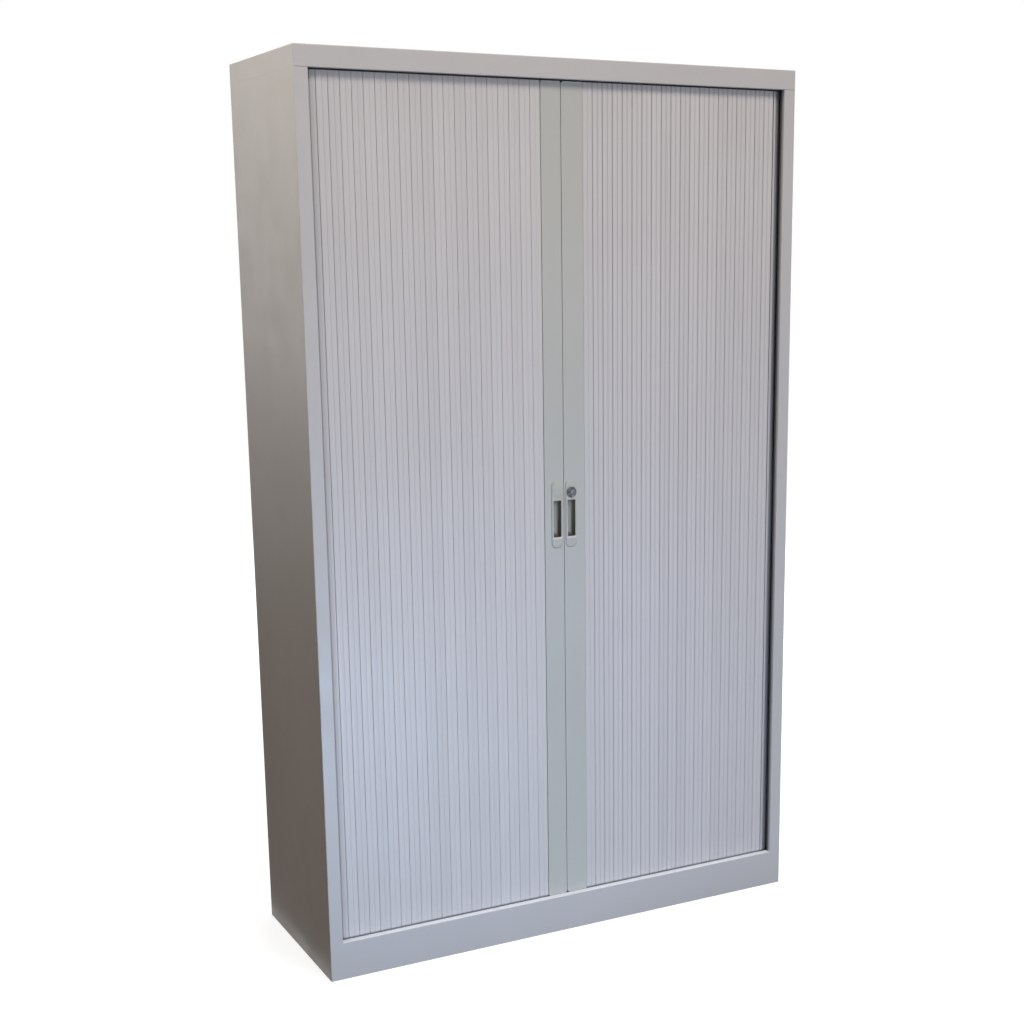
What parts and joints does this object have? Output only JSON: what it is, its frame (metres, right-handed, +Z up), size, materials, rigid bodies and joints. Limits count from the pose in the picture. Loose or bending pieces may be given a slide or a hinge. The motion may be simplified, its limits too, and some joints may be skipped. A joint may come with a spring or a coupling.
{
  "type": "roll front cabinet",
  "caption": "Tall steel cupboard with shelves behind two slatted roll fronts that slide sideways into the sides, with recessed pulls, a hook lock and levelling feet.",
  "frame": {"origin": "centre of the outside at floor level", "axes": "+X to the right, front faces -Y, +Z up"},
  "size_m": [1.2, 0.43, 1.98],
  "materials": {
    "carcass_paint": "light warm grey powder coat, fine texture",
    "inner_paint": "light grey powder coat",
    "stile_paint": "smooth light grey coat, slightly green",
    "slat_plastic": "satin light grey extruded plastic",
    "track_plastic": "black extruded plastic",
    "pull_plastic": "cream grey moulded plastic",
    "lock_metal": "satin nickel plate",
    "zinc_steel": "zinc plated steel",
    "glide_plastic": "natural acetal plastic",
    "plug_plastic": "grey moulded plastic",
    "pad_plastic": "black moulded plastic"
  },
  "bodies": {
    "carcass": {"left_side_panel": "carcass_paint", "right_side_panel": "carcass_paint", "top_panel": "carcass_paint", "head_panel": "inner_paint", "base_pan": "inner_paint", "front_plinth": "carcass_paint", "rear_plinth": "carcass_paint", "back_panel": "carcass_paint", "back_rivets": "zinc_steel", "floor_deck": "inner_paint", "deck_plugs": "plug_plastic", "left_lining": "inner_paint", "right_lining": "inner_paint", "inner_back_panel": "inner_paint", "shelf_1": "inner_paint", "shelf_2": "inner_paint", "shelf_3": "inner_paint", "shelf_4": "inner_paint", "shelf_clips": "zinc_steel", "top_track_left": "track_plastic", "top_track_right": "track_plastic", "bottom_track_left": "track_plastic", "bottom_track_right": "track_plastic", "foot_nuts": "zinc_steel"},
    "left_leading": {"left_stile": "stile_paint", "left_stile_glides": "glide_plastic", "left_pull": "pull_plastic", "lock_keeper": "zinc_steel", "left_slat_01": "slat_plastic"},
    "right_leading": {"right_stile": "stile_paint", "right_stile_glides": "glide_plastic", "right_pull": "pull_plastic", "lock_barrel": "lock_metal", "lock_nut": "zinc_steel", "right_slat_01": "slat_plastic"},
    "lock_turning": {"lock_core": "lock_metal", "lock_cam": "zinc_steel", "cam_screw": "zinc_steel"},
    "left_curtain_02_05": {"left_slats_02_05": "slat_plastic"},
    "left_curtain_06_09": {"left_slats_06_09": "slat_plastic"},
    "left_curtain_10_13": {"left_slats_10_13": "slat_plastic"},
    "left_curtain_14_17": {"left_slats_14_17": "slat_plastic"},
    "left_curtain_18_20": {"left_slats_18_20": "slat_plastic"},
    "left_curtain_21_24": {"left_slats_21_24": "slat_plastic"},
    "right_curtain_02_05": {"right_slats_02_05": "slat_plastic"},
    "right_curtain_06_09": {"right_slats_06_09": "slat_plastic"},
    "right_curtain_10_13": {"right_slats_10_13": "slat_plastic"},
    "right_curtain_14_17": {"right_slats_14_17": "slat_plastic"},
    "right_curtain_18_20": {"right_slats_18_20": "slat_plastic"},
    "right_curtain_21_24": {"right_slats_21_24": "slat_plastic"},
    "foot_front_left": {"foot_pad_front_left": "pad_plastic"},
    "stud_front_left": {"foot_stud_front_left": "zinc_steel"},
    "foot_front_right": {"foot_pad_front_right": "pad_plastic"},
    "stud_front_right": {"foot_stud_front_right": "zinc_steel"},
    "foot_rear_left": {"foot_pad_rear_left": "pad_plastic"},
    "stud_rear_left": {"foot_stud_rear_left": "zinc_steel"},
    "foot_rear_right": {"foot_pad_rear_right": "pad_plastic"},
    "stud_rear_right": {"foot_stud_rear_right": "zinc_steel"}
  },
  "joints": [
    {"name": "left_curtain_slide", "type": "slide", "parent": "carcass", "child": "left_leading", "axis": [-1, 0, 0], "range_m": [0, 0.495], "deforming": ["left_slat_01", "left_slats_02_05", "left_slats_06_09", "left_slats_10_13", "left_slats_14_17", "left_slats_18_20", "left_slats_21_24"]},
    {"name": "left_slats_02_05_follow", "type": "slide", "parent": "carcass", "child": "left_curtain_02_05", "axis": [-1, 0, 0], "range_m": [0, 0.422]},
    {"name": "left_slats_06_09_follow", "type": "slide", "parent": "carcass", "child": "left_curtain_06_09", "axis": [-1, 0, 0], "range_m": [0, 0.322]},
    {"name": "left_slats_10_13_follow", "type": "slide", "parent": "carcass", "child": "left_curtain_10_13", "axis": [-1, 0, 0], "range_m": [0, 0.222]},
    {"name": "left_slats_14_17_follow", "type": "slide", "parent": "carcass", "child": "left_curtain_14_17", "axis": [-1, 0, 0], "range_m": [0, 0.122]},
    {"name": "left_slats_18_20_follow", "type": "slide", "parent": "carcass", "child": "left_curtain_18_20", "axis": [-1, 0, 0], "range_m": [0, 0.0465]},
    {"name": "left_slats_21_24_follow", "type": "slide", "parent": "carcass", "child": "left_curtain_21_24", "axis": [0, 1, 0], "range_m": [0, 0.248]},
    {"name": "right_curtain_slide", "type": "slide", "parent": "carcass", "child": "right_leading", "axis": [1, 0, 0], "range_m": [0, 0.495], "deforming": ["right_slat_01", "right_slats_02_05", "right_slats_06_09", "right_slats_10_13", "right_slats_14_17", "right_slats_18_20", "right_slats_21_24"]},
    {"name": "right_slats_02_05_follow", "type": "slide", "parent": "carcass", "child": "right_curtain_02_05", "axis": [1, 0, 0], "range_m": [0, 0.4175]},
    {"name": "right_slats_06_09_follow", "type": "slide", "parent": "carcass", "child": "right_curtain_06_09", "axis": [1, 0, 0], "range_m": [0, 0.3175]},
    {"name": "right_slats_10_13_follow", "type": "slide", "parent": "carcass", "child": "right_curtain_10_13", "axis": [1, 0, 0], "range_m": [0, 0.2175]},
    {"name": "right_slats_14_17_follow", "type": "slide", "parent": "carcass", "child": "right_curtain_14_17", "axis": [1, 0, 0], "range_m": [0, 0.1175]},
    {"name": "right_slats_18_20_follow", "type": "slide", "parent": "carcass", "child": "right_curtain_18_20", "axis": [1, 0, 0], "range_m": [0, 0.042]},
    {"name": "right_slats_21_24_follow", "type": "slide", "parent": "carcass", "child": "right_curtain_21_24", "axis": [0, 1, 0], "range_m": [0, 0.248]},
    {"name": "lock_turn", "type": "hinge", "parent": "right_leading", "child": "lock_turning", "pos_m": [0.018, -0.19, 1.046], "axis": [0, -1, 0], "range_deg": [0, 90]},
    {"name": "foot_front_left_lower", "type": "slide", "parent": "carcass", "child": "foot_front_left", "axis": [0, 0, -1], "range_m": [0, 0.012]},
    {"name": "stud_front_left_turn", "type": "hinge", "parent": "foot_front_left", "child": "stud_front_left", "pos_m": [-0.52, -0.14, 0.04], "axis": [0, 0, -1], "range_deg": [0, 2881]},
    {"name": "foot_front_right_lower", "type": "slide", "parent": "carcass", "child": "foot_front_right", "axis": [0, 0, -1], "range_m": [0, 0.012]},
    {"name": "stud_front_right_turn", "type": "hinge", "parent": "foot_front_right", "child": "stud_front_right", "pos_m": [0.52, -0.14, 0.04], "axis": [0, 0, -1], "range_deg": [0, 2881]},
    {"name": "foot_rear_left_lower", "type": "slide", "parent": "carcass", "child": "foot_rear_left", "axis": [0, 0, -1], "range_m": [0, 0.012]},
    {"name": "stud_rear_left_turn", "type": "hinge", "parent": "foot_rear_left", "child": "stud_rear_left", "pos_m": [-0.52, 0.14, 0.04], "axis": [0, 0, -1], "range_deg": [0, 2881]},
    {"name": "foot_rear_right_lower", "type": "slide", "parent": "carcass", "child": "foot_rear_right", "axis": [0, 0, -1], "range_m": [0, 0.012]},
    {"name": "stud_rear_right_turn", "type": "hinge", "parent": "foot_rear_right", "child": "stud_rear_right", "pos_m": [0.52, 0.14, 0.04], "axis": [0, 0, -1], "range_deg": [0, 2881]}
  ],
  "couplings": [
    {"joint": "left_slats_02_05_follow", "follows": "left_curtain_slide", "ratio": 0.85152},
    {"joint": "left_slats_06_09_follow", "follows": "left_curtain_slide", "ratio": 0.6495},
    {"joint": "left_slats_10_13_follow", "follows": "left_curtain_slide", "ratio": 0.44748},
    {"joint": "left_slats_14_17_follow", "follows": "left_curtain_slide", "ratio": 0.24546},
    {"joint": "left_slats_18_20_follow", "follows": "left_curtain_slide", "ratio": 0.092929},
    {"joint": "left_slats_21_24_follow", "follows": "left_curtain_slide", "ratio": 0.5},
    {"joint": "right_slats_02_05_follow", "follows": "right_curtain_slide", "ratio": 0.84242},
    {"joint": "right_slats_06_09_follow", "follows": "right_curtain_slide", "ratio": 0.6404},
    {"joint": "right_slats_10_13_follow", "follows": "right_curtain_slide", "ratio": 0.43838},
    {"joint": "right_slats_14_17_follow", "follows": "right_curtain_slide", "ratio": 0.23636},
    {"joint": "right_slats_18_20_follow", "follows": "right_curtain_slide", "ratio": 0.083838},
    {"joint": "right_slats_21_24_follow", "follows": "right_curtain_slide", "ratio": 0.5},
    {"joint": "stud_front_left_turn", "follows": "foot_front_left_lower", "rad_per_m": 4188.8},
    {"joint": "stud_front_right_turn", "follows": "foot_front_right_lower", "rad_per_m": 4188.8},
    {"joint": "stud_rear_left_turn", "follows": "foot_rear_left_lower", "rad_per_m": 4188.8},
    {"joint": "stud_rear_right_turn", "follows": "foot_rear_right_lower", "rad_per_m": 4188.8}
  ]
}
